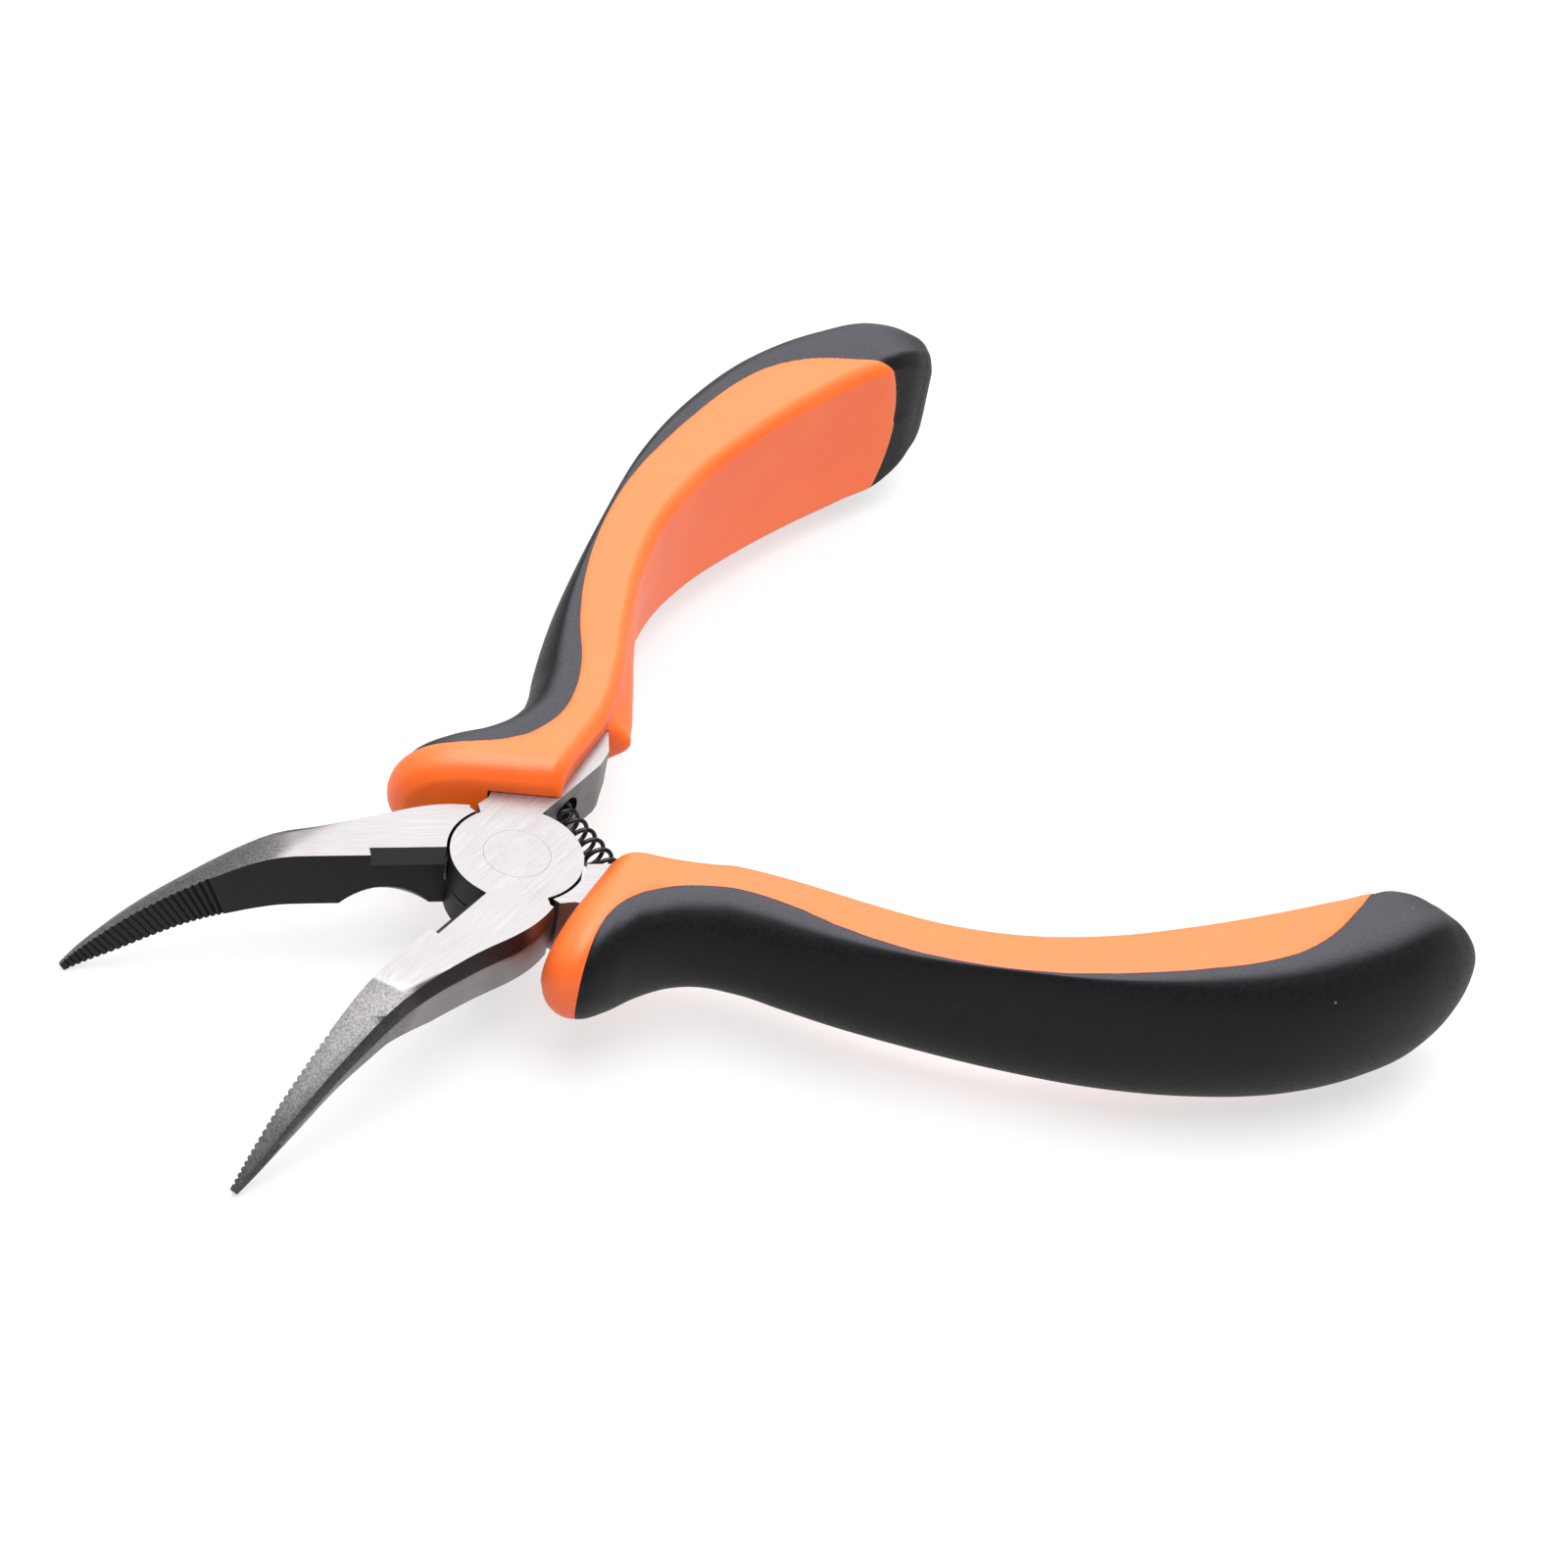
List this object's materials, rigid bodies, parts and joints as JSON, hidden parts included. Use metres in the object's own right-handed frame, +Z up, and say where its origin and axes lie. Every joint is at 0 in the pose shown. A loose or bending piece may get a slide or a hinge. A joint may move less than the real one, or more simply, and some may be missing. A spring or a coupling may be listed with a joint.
{
  "type": "needle nose pliers",
  "caption": "Bent long-nose pliers with side cutter, lap joint on a flush rivet, coil return spring and two-material grips, open at their stop.",
  "frame": {"origin": "on the pivot axis, at the underside of the joint", "axes": "+Z up the pivot towards the joint's upper face; +X forward, midway between the open jaws; the nose bends down, towards -Z"},
  "size_m": [0.1147, 0.1022, 0.0197],
  "materials": {
    "brushed_steel": "brushed tops, blasted grey nose, black oxide on the inner faces",
    "rivet_steel": "brushed flush with the joint",
    "black_spring_steel": "black oxide, satin",
    "orange_plastic": "satin, very fine grain",
    "black_rubber": "soft matt, fine grain"
  },
  "bodies": {
    "top_half": {"top_lever": "brushed_steel", "pivot_rivet": "rivet_steel", "return_spring": "black_spring_steel", "grip_body_top": "orange_plastic", "grip_overmould_top": "black_rubber"},
    "bottom_half": {"bottom_lever": "brushed_steel", "grip_body_bottom": "orange_plastic", "grip_overmould_bottom": "black_rubber"}
  },
  "joints": [
    {"name": "pivot", "type": "hinge", "parent": "top_half", "child": "bottom_half", "pos_m": [0, 0, 0.003], "axis": [0, 0, 1], "range_deg": [0, 44.5], "stiffness_Nm_per_rad": 0.15, "springref_deg": -20.05, "deforming": ["return_spring"]}
  ]
}
